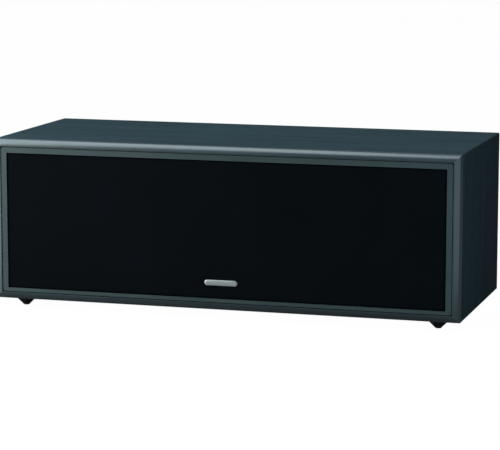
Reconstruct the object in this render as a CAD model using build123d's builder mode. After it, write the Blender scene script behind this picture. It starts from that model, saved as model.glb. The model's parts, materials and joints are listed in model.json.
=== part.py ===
"""Center channel loudspeaker: cabinet, grille, two woofers, dome tweeter, crossover and rear terminals.

The origin is on the ground below the middle of the cabinet. +X is to the right seen from the front,
the grille faces -Y and +Z is up. All sizes are in millimetres.
"""

import os
from build123d import *

# Cabinet
cabinet_width = 440.0
cabinet_height = 150.0
cabinet_depth = 180.0
wall_thickness = 14.0
rim_thickness = 7.0  # part of each wall that stands around the grille
rim_flat = 0.5  # flat left between the rim's rounding and the grille
rear_rim = 7.0  # part of each wall that stands around the rear panel
rear_setback = 5.0  # rear panel behind the rear edge of the walls
rear_thickness = 14.0
baffle_thickness = 16.0
edge_round = 1.2
drill_clearance = 0.05  # a pilot hole over the screw or stem in it

# Feet
foot_height = 8.0
foot_radius = 9.0
foot_rim = 1.5
foot_tip_radius = 2.5
foot_inset_x = 23.0
foot_inset_y = 20.0
foot_stem_radius = 3.0
foot_stem_cover = 1.5  # wood left between a stem and the end panels

# Grille
grille_gap = 0.6
grille_setback = 0.5
grille_depth = 8.0
grille_border = 5.2
grille_border_low = 3.1  # below the cloth
grille_ledge = 5.0
grille_seat_gap = 0.3
grille_corner = 2.0
cloth_recess = 0.8
cloth_thickness = 0.8
cloth_clearance = 0.15
crossbar_width = 8.0
crossbar_setback = 3.0
peg_radius = 3.0
peg_length = 9.0
peg_shoulder = 3.0  # keeps the rails in front of the driver flanges
peg_shoulder_step = 1.2
peg_inset = 17.0
peg_clearance = 0.06
socket_wall = 1.2
socket_lip = 0.8
socket_flange = 1.0
socket_floor = 1.2
socket_end_gap = 0.8
badge_width = 31.0
badge_height = 5.0
badge_thickness = 0.9
badge_lift = 14.8  # middle of the badge over the lower edge of the cloth

# Woofers
woofer_margin = 15.0  # flange to the end of the baffle
flange_margin = 0.8  # around the screw heads
flange_thickness = 1.5
basket_wall = 1.2
basket_skirt = 1.5
basket_tail = 11.0  # spider shelf to the rear of the basket
cutout_clearance = 0.8
shelf_step = 12.5  # shelf inside the basket's mouth
shelf_width = 6.0
neck_taper = 3.0
basket_windows = 6
window_width = 24.0
window_margin = 2.75
cone_radius = 39.5
cone_land = 2.5  # flat at the cone's rim that carries the surround
cone_depth = 14.0  # baffle face to the upper edge of the cone's neck
cone_wall = 0.8
roll_width = 6.0
surround_lip = 2.5
surround_wall = 0.5
gasket_gap = 0.4
gasket_thickness = 1.2
former_radius = 12.5
former_wall = 0.3
winding_wall = 0.5
winding_height = 8.0
glue_gap = 0.1
coil_gap = 0.5
spider_drop = 5.0  # cone's neck to the spider shelf
spider_wall = 0.4
spider_lip = 3.5
spider_wave = 1.0
spider_edge_gap = 0.5
cap_overlap = 4.1  # dust cap outside the cone's neck
cap_height = 6.0
cap_wall = 0.6
cap_seat = 1.0
basket_bore_gap = 2.0
top_plate_radius = 31.0
top_plate_thickness = 5.0
magnet_radius = 35.0
magnet_thickness = 13.0
magnet_bore_gap = 4.0
yoke_radius = 32.0
yoke_thickness = 5.0
pole_vent = 4.0
strip_width = 12.0
strip_length = 13.0
strip_thickness = 1.2
strip_seat = 4.5  # overlap of the terminal strip on the basket's shelf
tab_spread = 3.5
tab_width = 4.0
tab_thickness = 0.8
tab_length = 7.5
tab_inset = 1.0

# Tweeter
tweeter_land = 13.0  # faceplate outside the baffle's cut-out
faceplate_seat = 1.0  # faceplate left under the screw heads
faceplate_edge = 1.0
horn_radius = 30.0
horn_lip = 0.9
throat_gap = 0.15
dome_radius = 12.5
dome_height = 5.5
dome_wall = 0.5
dome_roll = 3.4
dome_roll_height = 1.5
dome_lip = 2.3
dome_lip_gap = 0.5
tweeter_former_wall = 0.15
tweeter_winding_wall = 0.25
tweeter_coil_length = 3.9
tweeter_winding_height = 2.6
tweeter_coil_gap = 0.45
tweeter_boss_edge = 0.5
tweeter_cutout_clearance = 2.0
tweeter_plate_radius = 30.5
tweeter_plate_thickness = 3.0
tweeter_magnet_radius = 30.0
tweeter_magnet_thickness = 10.0
tweeter_magnet_bore_gap = 3.0
tweeter_yoke_radius = 28.0
tweeter_yoke_thickness = 4.0
tweeter_strip_width = 18.0
tweeter_strip_height = 8.0
tweeter_tab_spread = 6.0

# Driver screws
screw_radius = 1.8
screw_length = 14.0
screw_head_radius = 3.2
screw_head_height = 2.0
screw_hole_clearance = 0.2
driver_screws = 4

# Reflex port
port_inset = 95.0  # port axis inside the side panel's outer face
port_radius = 19.0
port_wall = 2.5
port_length = 70.0
port_lip = 4.0
port_flange = 2.5
port_flare = 6.0
port_clearance = 0.3

# Terminal cup and binding posts
cup_width = 62.0
cup_height = 42.0
cup_corner = 8.0
cup_depth = 24.0
cup_wall = 2.0
cup_flange = 2.5
cup_flange_width = 11.0
cup_flange_corner = 6.0
cup_clearance = 0.5
cup_screw_inset = 5.0
cup_screw_radius = 1.5
cup_screw_head = 2.8
cup_screw_head_height = 1.8
cup_screw_length = 11.0
post_pitch = 19.05
collar_radius = 7.5
collar_height = 2.5
shoulder_radius = 6.0
shoulder_height = 2.0
stud_wall = 1.0
stud_length = 14.5
stud_shank_radius = 2.4
stud_tail = 11.0
banana_radius = 2.0
banana_depth = 11.0
wire_hole_radius = 1.2
wire_hole_height = 1.7
thread_clearance = 0.08
insert_wall = 1.4
insert_height = 6.2
insert_lift = 0.3
turning_clearance = 0.06
post_cap_radius = 7.0
post_cap_lift = 0.2
post_cap_end = 0.6
post_cap_end_gap = 0.2
post_cap_eye = 0.3
flute_count = 14
flute_radius = 1.1
nut_flats = 8.0
nut_height = 3.0
tag_radius = 4.5
tag_length = 12.0
tag_width = 4.0
tag_thickness = 0.8

# Crossover
board_width = 124.0
board_depth = 60.0
board_thickness = 1.6
board_gap = 7.0  # board to the rear panel
part_gap = 3.0  # between the parts on the board
spacer_height = 6.0
spacer_radius = 3.5
board_screw_radius = 1.5
board_screw_head = 2.8
board_screw_head_height = 1.8
board_screw_grip = 8.0
board_hole_inset = 5.0
inductor_inset = 24.0  # from the end of the board
inductor_radius = 16.0
inductor_bore = 7.0
inductor_height = 14.0
capacitor_spread = 14.0
capacitor_radius = 7.0
capacitor_height = 22.0
capacitor_round = 1.0
resistor_length = 22.0
resistor_width = 8.0

# Damping pads
pad_height = 90.0
pad_depth = 90.0
pad_thickness = 14.0
pad_place = 15.0  # middle of the pads behind the middle of the cabinet

# Leads
lead_radius = 0.9
lead_bend = 8.0
input_lead_forward = 11.0
woofer_lead_inset = 8.0  # from the end of the board
woofer_lead_step = 3.0
tweeter_lead_forward = 54.0

# Main places
front = -cabinet_depth / 2
rear = cabinet_depth / 2
ground_gap = foot_height
foot_stem_length = min(rim_thickness, rear_rim) - foot_stem_cover
axis_height = ground_gap + cabinet_height / 2
bottom_inside = ground_gap + wall_thickness
grille_front = front + grille_setback
grille_back = grille_front + grille_depth
baffle_front = grille_back + peg_shoulder + grille_seat_gap + socket_flange
baffle_back = baffle_front + baffle_thickness
rear_face = rear - rear_setback
rear_inside = rear_face - rear_thickness
port_offset = cabinet_width / 2 - port_inset
port_flange_radius = port_radius + port_flare + port_lip
stud_radius = banana_radius + stud_wall
baffle_width = cabinet_width - 2 * rim_thickness
baffle_height = cabinet_height - 2 * rim_thickness
grille_width = baffle_width - 2 * grille_gap
grille_height = baffle_height - 2 * grille_gap
grille_rail = grille_border + grille_ledge
pocket_width = grille_width - 2 * grille_border
pocket_height = grille_height - grille_border - grille_border_low
pocket_drop = (grille_border - grille_border_low) / 2
cloth_front = grille_front + cloth_recess
cloth_back = cloth_front + cloth_thickness
peg_pitch_x = grille_width / 2 - peg_inset
peg_pitch_z = grille_height - grille_rail
socket_bore = peg_radius + peg_clearance
socket_radius = socket_bore + socket_wall
socket_depth = peg_length - grille_seat_gap + socket_end_gap + socket_floor - socket_flange
mouth_radius = cone_radius + roll_width
basket_outside = mouth_radius + basket_wall
woofer_cutout = basket_outside + cutout_clearance
lip_radius = mouth_radius + surround_lip
woofer_bolt_circle = lip_radius + flange_margin + screw_head_radius
woofer_radius = woofer_bolt_circle + screw_head_radius + flange_margin
woofer_offset = baffle_width / 2 - woofer_margin - woofer_radius
shelf_depth = cone_depth + spider_drop
shelf_radius = mouth_radius - shelf_step
shelf_inner = shelf_radius - shelf_width
basket_neck = shelf_inner - neck_taper
basket_depth = shelf_depth + basket_tail
former_outside = former_radius + former_wall
winding_outside = former_outside + winding_wall
neck_radius = former_outside + glue_gap
cap_radius = neck_radius + cap_overlap
cone_slope = (cone_depth + flange_thickness) / (cone_radius - cone_land - neck_radius)
pole_front = -basket_depth
magnet_front = -basket_depth - top_plate_thickness
yoke_front = magnet_front - magnet_thickness
tweeter_boss_radius = tweeter_plate_radius + tweeter_boss_edge
tweeter_cutout = max(tweeter_boss_radius, tweeter_magnet_radius) + tweeter_cutout_clearance
tweeter_bolt_circle = tweeter_cutout + tweeter_land / 2
tweeter_radius = tweeter_cutout + tweeter_land
faceplate_thickness = screw_head_height + faceplate_seat
dome_seat = dome_radius + tweeter_former_wall
roll_inside = dome_seat + dome_wall
roll_outside = roll_inside + dome_roll
dome_edge = roll_outside + dome_lip
lip_top = -dome_lip_gap
lip_bottom = lip_top - dome_wall
boss_depth = dome_wall + 2 * dome_lip_gap
tweeter_winding_outside = dome_seat + tweeter_winding_wall
tweeter_magnet_front = -boss_depth - tweeter_plate_thickness
tweeter_yoke_front = tweeter_magnet_front - tweeter_magnet_thickness
tweeter_strip_front = tweeter_yoke_front - tweeter_yoke_thickness
cup_floor = rear_face + cup_flange - cup_depth
post_base = collar_height + shoulder_height
board_top = bottom_inside + spacer_height + board_thickness
board_rear = rear_inside - board_gap
inductor_spread = board_width / 2 - inductor_inset
inductor_row = board_rear - part_gap - inductor_radius
part_row = inductor_row - inductor_radius - part_gap - capacitor_radius
resistor_spread = capacitor_spread + capacitor_radius + part_gap + resistor_length / 2
board_middle = board_rear - board_depth / 2
sides = {"left": -1, "right": 1}
colours = {"red": 1, "black": -1}


def save(builder, name):
    """Label a finished piece and write its file."""
    builder.part.label = name
    export_step(builder.part, f"parts/{name}.step")


def front_plane(x, y):
    """Plane that faces the listener, level with the driver axes."""
    return Plane(origin=(x, y, axis_height), x_dir=(1, 0, 0), z_dir=(0, -1, 0))


def rear_plane(x, y):
    """Plane that faces backwards, with its own x to the left of the cabinet."""
    return Plane(origin=(x, y, axis_height), x_dir=(-1, 0, 0), z_dir=(0, 1, 0))


def driver_section(x):
    """Plane of a driver's section: own x is the radius, own y the distance in front of the baffle."""
    return Plane(origin=(x, baffle_front, axis_height), x_dir=(1, 0, 0), z_dir=(0, 0, -1))


def driver_axis(x):
    """Axis of a driver, pointing to the listener."""
    return Axis((x, baffle_front, axis_height), (0, -1, 0))


def turn_driver(x, outline):
    """Turn an outline of (radius, distance in front of the baffle) about a driver's axis."""
    with BuildSketch(driver_section(x)) as section:
        with BuildLine():
            Polyline(*outline, close=True)
        make_face()
    revolve(section.sketch, axis=driver_axis(x))


def turn_rear(x, y, outline):
    """Turn an outline of (radius, distance behind y) about an axis that points backwards."""
    with BuildSketch(Plane(origin=(x, y, axis_height), x_dir=(1, 0, 0), z_dir=(0, 0, 1))) as section:
        with BuildLine():
            Polyline(*outline, close=True)
        make_face()
    revolve(section.sketch, axis=Axis((x, y, axis_height), (0, 1, 0)))


def ring(inside, outside, low, high):
    """Outline of a plain ring or, with no inside radius, of a disc."""
    return [(inside, low), (outside, low), (outside, high), (inside, high)]


def run_lead(points, bend):
    """Round lead of straight runs joined by tangent bends."""
    with BuildLine() as route:
        FilletPolyline(*points, radius=bend)
    with BuildSketch(Plane(origin=route.line @ 0, z_dir=route.line % 0)) as section:
        Circle(lead_radius)
    sweep(section.sketch, path=route.line)


def shape_wall(centre, inward, along, length):
    """Cabinet wall with a rounded rim in front, a rebate for each end panel and mitred ends.

    In its section, x runs backwards from the middle of the depth and y runs into the cabinet.
    """
    backward = Vector(0, 1, 0)
    rim_round = rim_thickness - rim_flat
    with BuildSketch(Plane(origin=centre, x_dir=backward, z_dir=backward.cross(inward))) as section:
        with BuildLine():
            TangentArc((front, rim_round), (front + rim_round, 0), tangent=(0, -1))
            Polyline(
                (front + rim_round, 0),
                (rear, 0),
                (rear, rear_rim),
                (rear_inside, rear_rim),
                (rear_inside, wall_thickness),
                (baffle_back, wall_thickness),
                (baffle_back, rim_thickness),
                (front, rim_thickness),
                (front, rim_round),
            )
        make_face()
    extrude(section.sketch, amount=length / 2, both=True)
    with BuildSketch(Plane(origin=centre, x_dir=along, z_dir=along.cross(inward))) as mitre:
        with BuildLine():
            Polyline(
                (-length / 2, 0),
                (length / 2, 0),
                (length / 2 - wall_thickness, wall_thickness),
                (wall_thickness - length / 2, wall_thickness),
                close=True,
            )
        make_face()
    extrude(mitre.sketch, amount=cabinet_depth, both=True, mode=Mode.INTERSECT)
    with BuildSketch(front_plane(0, 0)) as outline:
        RectangleRounded(cabinet_width, cabinet_height, edge_round)
    extrude(outline.sketch, amount=cabinet_depth, both=True, mode=Mode.INTERSECT)


def shape_screw(plane, places, radius, length, head_radius, head_height):
    """Pan-head screws whose heads sit on the plane."""
    with BuildSketch(plane) as shanks:
        with Locations(*places):
            Circle(radius)
    extrude(shanks.sketch, amount=-length)
    with BuildSketch(plane) as heads:
        with Locations(*places):
            Circle(head_radius)
    extrude(heads.sketch, amount=head_height)


def bolt_places(radius):
    """Screw places of a driver, spread evenly and clear of the level axes."""
    with PolarLocations(radius, driver_screws, start_angle=180 / driver_screws) as places:
        return [place.position for place in places.local_locations]


os.makedirs("parts", exist_ok=True)
right = Vector(1, 0, 0)
up = Vector(0, 0, 1)
foot_grid = GridLocations(
    cabinet_width - 2 * foot_inset_x, cabinet_depth - 2 * foot_inset_y, 2, 2
).local_locations
board_grid = GridLocations(
    board_width - 2 * board_hole_inset, board_depth - 2 * board_hole_inset, 2, 2
).local_locations
peg_grid = GridLocations(peg_pitch_x, peg_pitch_z, 3, 2).local_locations
cup_grid = GridLocations(
    cup_width + 2 * (cup_flange_width - cup_screw_inset),
    cup_height + 2 * (cup_flange_width - cup_screw_inset),
    2,
    2,
).local_locations
foot_places = [place.position for place in foot_grid]
board_places = [place.position for place in board_grid]
peg_places = [place.position for place in peg_grid]
cup_places = [place.position for place in cup_grid]
board_floor = Plane(origin=(0, board_middle, bottom_inside))
board_face = board_floor.offset(spacer_height + board_thickness)

# Cabinet walls
with BuildPart() as top_panel:
    shape_wall((0, 0, ground_gap + cabinet_height), -up, right, cabinet_width)
save(top_panel, "top_panel")

with BuildPart() as bottom_panel:
    shape_wall((0, 0, ground_gap), up, right, cabinet_width)
    with BuildSketch(Plane.XY.offset(ground_gap)):
        with Locations(*foot_places):
            Circle(foot_stem_radius + drill_clearance)
    extrude(amount=foot_stem_length + drill_clearance, mode=Mode.SUBTRACT)
    with BuildSketch(board_floor):
        with Locations(*board_places):
            Circle(board_screw_radius + drill_clearance)
    extrude(amount=-board_screw_grip - drill_clearance, mode=Mode.SUBTRACT)
save(bottom_panel, "bottom_panel")

for side, sign in sides.items():
    with BuildPart() as side_panel:
        shape_wall((sign * cabinet_width / 2, 0, axis_height), right * -sign, up, cabinet_height)
    save(side_panel, f"{side}_side_panel")

# Front baffle with the driver cut-outs, grille sockets and pilot holes
with BuildPart() as front_baffle:
    with BuildSketch(front_plane(0, baffle_front)):
        Rectangle(baffle_width, baffle_height)
        with Locations((-woofer_offset, 0), (woofer_offset, 0)):
            Circle(woofer_cutout, mode=Mode.SUBTRACT)
        Circle(tweeter_cutout, mode=Mode.SUBTRACT)
    extrude(amount=-baffle_thickness)
    with BuildSketch(front_plane(0, baffle_front)):
        with Locations(*peg_places):
            Circle(socket_radius + drill_clearance)
    extrude(amount=-socket_depth - drill_clearance, mode=Mode.SUBTRACT)
    pilot_circles = {0: tweeter_bolt_circle}
    pilot_circles.update({sign * woofer_offset: woofer_bolt_circle for sign in sides.values()})
    for x, bolt_circle in pilot_circles.items():
        with BuildSketch(front_plane(x, baffle_front)):
            with Locations(*bolt_places(bolt_circle)):
                Circle(screw_radius + drill_clearance)
        extrude(amount=-screw_length - drill_clearance, mode=Mode.SUBTRACT)
save(front_baffle, "front_baffle")

# Rear panel with the openings for the port and the terminal cup
with BuildPart() as rear_panel:
    with BuildSketch(rear_plane(0, rear_face)):
        Rectangle(cabinet_width - 2 * rear_rim, cabinet_height - 2 * rear_rim)
        with Locations((port_offset, 0)):
            Circle(port_radius + port_wall + port_clearance, mode=Mode.SUBTRACT)
        RectangleRounded(
            cup_width + 2 * (cup_wall + cup_clearance),
            cup_height + 2 * (cup_wall + cup_clearance),
            cup_corner + cup_wall + cup_clearance,
            mode=Mode.SUBTRACT,
        )
    extrude(amount=-rear_thickness)
    with BuildSketch(rear_plane(0, rear_face)):
        with Locations(*cup_places):
            Circle(cup_screw_radius + drill_clearance)
    extrude(amount=-cup_screw_length - drill_clearance, mode=Mode.SUBTRACT)
save(rear_panel, "rear_panel")

# Damping pads on the side panels
with BuildPart() as damping_pads:
    pad_seat = cabinet_width / 2 - wall_thickness
    for sign in sides.values():
        with BuildSketch(Plane(origin=(sign * pad_seat, pad_place, axis_height), z_dir=(-sign, 0, 0))) as pad:
            Rectangle(pad_height, pad_depth)
        extrude(pad.sketch, amount=pad_thickness)
save(damping_pads, "damping_pads")

# Reflex port with a flared mouth
with BuildPart() as reflex_port:
    with BuildSketch(Plane(origin=(-port_offset, rear_face, axis_height))):
        with BuildLine():
            Polyline(
                (port_radius, port_flange - port_flare),
                (port_radius, -port_length),
                (port_radius + port_wall, -port_length),
                (port_radius + port_wall, 0),
                (port_flange_radius, 0),
                (port_flange_radius, port_flange),
                (port_radius + port_flare, port_flange),
            )
            TangentArc(
                (port_radius, port_flange - port_flare),
                (port_radius + port_flare, port_flange),
                tangent=(0, 1),
            )
        make_face()
    revolve(axis=Axis((-port_offset, rear_face, axis_height), (0, 1, 0)))
save(reflex_port, "reflex_port")

# Terminal cup, let into the rear panel
with BuildPart() as terminal_cup:
    with BuildSketch(rear_plane(0, rear_face)):
        RectangleRounded(
            cup_width + 2 * cup_flange_width, cup_height + 2 * cup_flange_width, cup_flange_corner
        )
    extrude(amount=cup_flange)
    with BuildSketch(rear_plane(0, cup_floor - cup_wall)):
        RectangleRounded(cup_width + 2 * cup_wall, cup_height + 2 * cup_wall, cup_corner + cup_wall)
    extrude(amount=cup_depth + cup_wall - cup_flange)
    with BuildSketch(rear_plane(0, cup_floor)):
        RectangleRounded(cup_width, cup_height, cup_corner)
    extrude(amount=cup_depth, mode=Mode.SUBTRACT)
    with BuildSketch(rear_plane(0, cup_floor)):
        with Locations((-post_pitch / 2, 0), (post_pitch / 2, 0)):
            Circle(stud_shank_radius + drill_clearance)
    extrude(amount=-cup_wall, mode=Mode.SUBTRACT)
    with BuildSketch(rear_plane(0, rear_face)):
        with Locations(*cup_places):
            Circle(cup_screw_radius + screw_hole_clearance)
    extrude(amount=cup_flange, mode=Mode.SUBTRACT)
save(terminal_cup, "terminal_cup")

with BuildPart() as terminal_cup_screws:
    shape_screw(
        rear_plane(0, rear_face + cup_flange),
        cup_places,
        cup_screw_radius,
        cup_screw_length,
        cup_screw_head,
        cup_screw_head_height,
    )
save(terminal_cup_screws, "terminal_cup_screws")

# Binding posts: heights are measured backwards from the floor of the cup
stud_tip = post_base + stud_length
with BuildPart() as post_studs:
    for sign in colours.values():
        turn_rear(
            sign * post_pitch / 2,
            cup_floor,
            [
                (0, -stud_tail),
                (stud_shank_radius, -stud_tail),
                (stud_shank_radius, collar_height),
                (shoulder_radius, collar_height),
                (shoulder_radius, post_base),
                (stud_radius, post_base),
                (stud_radius, stud_tip),
                (banana_radius, stud_tip),
                (banana_radius, stud_tip - banana_depth),
                (0, stud_tip - banana_depth),
            ],
        )
    with BuildSketch(Plane.YZ):
        with Locations((cup_floor + post_base + wire_hole_height, axis_height)):
            Circle(wire_hole_radius)
    extrude(amount=cup_width, both=True, mode=Mode.SUBTRACT)
save(post_studs, "post_studs")

with BuildPart() as post_nuts:
    with BuildSketch(rear_plane(0, cup_floor - cup_wall - tag_thickness)):
        with Locations((-post_pitch / 2, 0), (post_pitch / 2, 0)):
            RegularPolygon(nut_flats / 2, 6, major_radius=False)
            Circle(stud_shank_radius + thread_clearance, mode=Mode.SUBTRACT)
    extrude(amount=-nut_height)
save(post_nuts, "post_nuts")

with BuildPart() as solder_tags:
    with BuildSketch(rear_plane(0, cup_floor - cup_wall)):
        with Locations((-post_pitch / 2, 0), (post_pitch / 2, 0)):
            Circle(tag_radius)
        with Locations((-post_pitch / 2, -tag_length / 2), (post_pitch / 2, -tag_length / 2)):
            Rectangle(tag_width, tag_length)
        with Locations((-post_pitch / 2, 0), (post_pitch / 2, 0)):
            Circle(stud_shank_radius + thread_clearance, mode=Mode.SUBTRACT)
    extrude(amount=-tag_thickness)
save(solder_tags, "solder_tags")

insert_bore = stud_radius + thread_clearance
insert_radius = insert_bore + insert_wall
insert_base = post_base + insert_lift
cap_bore = insert_radius + turning_clearance
cap_base = post_base + post_cap_lift
cap_step = insert_base + insert_height + turning_clearance
cap_ceiling = stud_tip + post_cap_end_gap
cap_top = cap_ceiling + post_cap_end
for colour, sign in colours.items():
    post_x = sign * post_pitch / 2

    with BuildPart() as post_collar:
        collar_bore = stud_shank_radius + drill_clearance
        turn_rear(post_x, cup_floor, ring(collar_bore, collar_radius, 0, collar_height))
    save(post_collar, f"{colour}_post_collar")

    with BuildPart() as post_insert:
        insert_top = insert_base + insert_height
        turn_rear(post_x, cup_floor, ring(insert_bore, insert_radius, insert_base, insert_top))
    save(post_insert, f"{colour}_post_insert")

    with BuildPart() as post_cap:
        turn_rear(
            post_x,
            cup_floor,
            [
                (cap_bore, cap_base),
                (post_cap_radius, cap_base),
                (post_cap_radius, cap_top),
                (banana_radius + post_cap_eye, cap_top),
                (banana_radius + post_cap_eye, cap_ceiling),
                (insert_bore + turning_clearance, cap_ceiling),
                (insert_bore + turning_clearance, cap_step),
                (cap_bore, cap_step),
            ],
        )
        with BuildSketch(rear_plane(post_x, cup_floor + cap_base)):
            with PolarLocations(post_cap_radius + flute_radius / 2, flute_count):
                Circle(flute_radius)
        extrude(amount=cap_top, mode=Mode.SUBTRACT)
    save(post_cap, f"{colour}_post_cap")

# Crossover board on the bottom panel
with BuildPart() as crossover_board:
    with BuildSketch(board_floor.offset(spacer_height)):
        Rectangle(board_width, board_depth)
        with Locations(*board_places):
            Circle(board_screw_radius + screw_hole_clearance, mode=Mode.SUBTRACT)
    extrude(amount=board_thickness)
save(crossover_board, "crossover_board")

with BuildPart() as crossover_spacers:
    with BuildSketch(board_floor):
        with Locations(*board_places):
            Circle(spacer_radius)
            Circle(board_screw_radius + screw_hole_clearance, mode=Mode.SUBTRACT)
    extrude(amount=spacer_height)
save(crossover_spacers, "crossover_spacers")

with BuildPart() as crossover_screws:
    shape_screw(
        board_face,
        board_places,
        board_screw_radius,
        board_thickness + spacer_height + board_screw_grip,
        board_screw_head,
        board_screw_head_height,
    )
save(crossover_screws, "crossover_screws")

with BuildPart() as crossover_inductors:
    with BuildSketch(Plane.XY.offset(board_top)):
        with Locations((-inductor_spread, inductor_row), (inductor_spread, inductor_row)):
            Circle(inductor_radius)
            Circle(inductor_bore, mode=Mode.SUBTRACT)
    extrude(amount=inductor_height)
save(crossover_inductors, "crossover_inductors")

with BuildPart() as crossover_capacitors:
    with BuildSketch(Plane.XY.offset(board_top)):
        with Locations((-capacitor_spread, part_row), (capacitor_spread, part_row)):
            Circle(capacitor_radius)
    extrude(amount=capacitor_height)
    fillet(crossover_capacitors.faces().sort_by(Axis.Z)[-2:].edges(), capacitor_round)
save(crossover_capacitors, "crossover_capacitors")

with BuildPart() as crossover_resistors:
    with BuildSketch(Plane.XY.offset(board_top)):
        with Locations((-resistor_spread, part_row), (resistor_spread, part_row)):
            Rectangle(resistor_length, resistor_width)
    extrude(amount=resistor_width)
save(crossover_resistors, "crossover_resistors")

# Woofers: one of each moving piece per side, the same fixed pieces as pairs
lip_seat = flange_thickness + surround_wall
cone_inner_land = cone_radius - cone_land
basket_bore = winding_outside + basket_bore_gap
coil_middle = magnet_front + top_plate_thickness / 2
coil_end = coil_middle - winding_height / 2
roll_middle = cone_radius + roll_width / 2
roll_height = roll_width / 2


def cone_level(radius):
    """Level of the cone's upper face at a radius."""
    return (radius - neck_radius) * cone_slope - cone_depth


for side, sign in sides.items():
    woofer_x = sign * woofer_offset

    with BuildPart() as basket:
        turn_driver(
            woofer_x,
            [
                (mouth_radius, flange_thickness),
                (mouth_radius, -basket_skirt),
                (shelf_radius, -shelf_depth),
                (shelf_inner, -shelf_depth),
                (basket_neck, basket_wall - basket_depth),
                (basket_bore, basket_wall - basket_depth),
                (basket_bore, -basket_depth),
                (basket_neck + basket_wall, -basket_depth),
                (shelf_inner + basket_wall, -shelf_depth - basket_wall),
                (shelf_radius + basket_wall, -shelf_depth - basket_wall),
                (basket_outside, -basket_skirt),
                (basket_outside, 0),
                (woofer_radius, 0),
                (woofer_radius, flange_thickness),
            ],
        )
        with BuildSketch(front_plane(woofer_x, baffle_front + basket_skirt + window_margin)):
            with PolarLocations((shelf_radius + mouth_radius) / 2, basket_windows):
                Rectangle(shelf_step + 2 * basket_wall, window_width)
        extrude(amount=basket_skirt + 2 * window_margin - shelf_depth, mode=Mode.SUBTRACT)
        with BuildSketch(front_plane(woofer_x, baffle_front)):
            with Locations(*bolt_places(woofer_bolt_circle)):
                Circle(screw_radius + screw_hole_clearance)
        extrude(amount=flange_thickness, mode=Mode.SUBTRACT)
    save(basket, f"{side}_woofer_basket")

    with BuildPart() as spider:
        spider_edge = shelf_radius - spider_edge_gap
        wave_start = neck_radius + spider_wall
        wave_step = (spider_edge - spider_lip - wave_start) / 4
        for lift, mode in ((spider_wall, Mode.ADD), (0, Mode.SUBTRACT)):
            level = lift - shelf_depth
            with BuildSketch(driver_section(woofer_x)) as section:
                with BuildLine():
                    for step in range(4):
                        crest = level + (spider_wave if step % 2 else -spider_wave)
                        ThreePointArc(
                            (wave_start + step * wave_step, level),
                            (wave_start + (step + 0.5) * wave_step, crest),
                            (wave_start + (step + 1) * wave_step, level),
                        )
                    Polyline(
                        (spider_edge - spider_lip, level),
                        (spider_edge, level),
                        (spider_edge, -shelf_depth - 2 * spider_wave),
                        (neck_radius, -shelf_depth - 2 * spider_wave),
                        (neck_radius, level),
                        (wave_start, level),
                    )
                make_face()
            revolve(section.sketch, axis=driver_axis(woofer_x), mode=mode)
    save(spider, f"{side}_woofer_spider")

    with BuildPart() as voice_coil:
        turn_driver(
            woofer_x,
            [
                (former_radius, coil_end),
                (winding_outside, coil_end),
                (winding_outside, coil_end + winding_height),
                (former_outside, coil_end + winding_height),
                (former_outside, cone_level(neck_radius)),
                (former_radius, cone_level(neck_radius)),
            ],
        )
    save(voice_coil, f"{side}_woofer_voice_coil")

    with BuildPart() as cone:
        turn_driver(
            woofer_x,
            [
                (neck_radius, cone_level(neck_radius)),
                (cone_inner_land, flange_thickness),
                (cone_radius, flange_thickness),
                (cone_radius, flange_thickness - cone_wall),
                (cone_inner_land + cone_wall / 2, flange_thickness - cone_wall),
                (neck_radius, cone_level(neck_radius) - cone_wall),
            ],
        )
    save(cone, f"{side}_woofer_cone")

    with BuildPart() as dust_cap:
        cap_edge = cone_level(cap_radius)
        cap_crown = cap_edge + cap_height
        with BuildSketch(driver_section(woofer_x)) as section:
            with BuildLine():
                TangentArc((0, cap_crown), (cap_radius, cap_edge), tangent=(1, 0))
                Line((cap_radius, cap_edge), (cap_radius - cap_seat, cone_level(cap_radius - cap_seat)))
                TangentArc(
                    (0, cap_crown - cap_wall),
                    (cap_radius - cap_seat, cone_level(cap_radius - cap_seat)),
                    tangent=(1, 0),
                )
                Line((0, cap_crown - cap_wall), (0, cap_crown))
            make_face()
        revolve(section.sketch, axis=driver_axis(woofer_x))
    save(dust_cap, f"{side}_woofer_dust_cap")

    with BuildPart() as surround:
        with BuildSketch(driver_section(woofer_x)) as section:
            with BuildLine():
                Line((cone_inner_land, flange_thickness), (cone_radius, flange_thickness))
                ThreePointArc(
                    (cone_radius, flange_thickness),
                    (roll_middle, flange_thickness + roll_height),
                    (mouth_radius, flange_thickness),
                )
                Polyline(
                    (mouth_radius, flange_thickness),
                    (lip_radius, flange_thickness),
                    (lip_radius, lip_seat),
                    (mouth_radius + surround_wall, lip_seat),
                )
                ThreePointArc(
                    (mouth_radius + surround_wall, lip_seat),
                    (roll_middle, lip_seat + roll_height),
                    (cone_radius - surround_wall, lip_seat),
                )
                Polyline(
                    (cone_radius - surround_wall, lip_seat),
                    (cone_inner_land, lip_seat),
                    (cone_inner_land, flange_thickness),
                )
            make_face()
        revolve(section.sketch, axis=driver_axis(woofer_x))
    save(surround, f"{side}_woofer_surround")

with BuildPart() as woofer_gaskets:
    for sign in sides.values():
        gasket_inside = mouth_radius + surround_wall + gasket_gap
        gasket_front = lip_seat + gasket_thickness
        turn_driver(sign * woofer_offset, ring(gasket_inside, lip_radius, lip_seat, gasket_front))
save(woofer_gaskets, "woofer_gaskets")

with BuildPart() as woofer_top_plates:
    for sign in sides.values():
        plate_bore = winding_outside + coil_gap
        turn_driver(sign * woofer_offset, ring(plate_bore, top_plate_radius, magnet_front, -basket_depth))
save(woofer_top_plates, "woofer_top_plates")

with BuildPart() as woofer_magnets:
    for sign in sides.values():
        magnet_bore = winding_outside + magnet_bore_gap
        turn_driver(sign * woofer_offset, ring(magnet_bore, magnet_radius, yoke_front, magnet_front))
save(woofer_magnets, "woofer_magnets")

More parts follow.
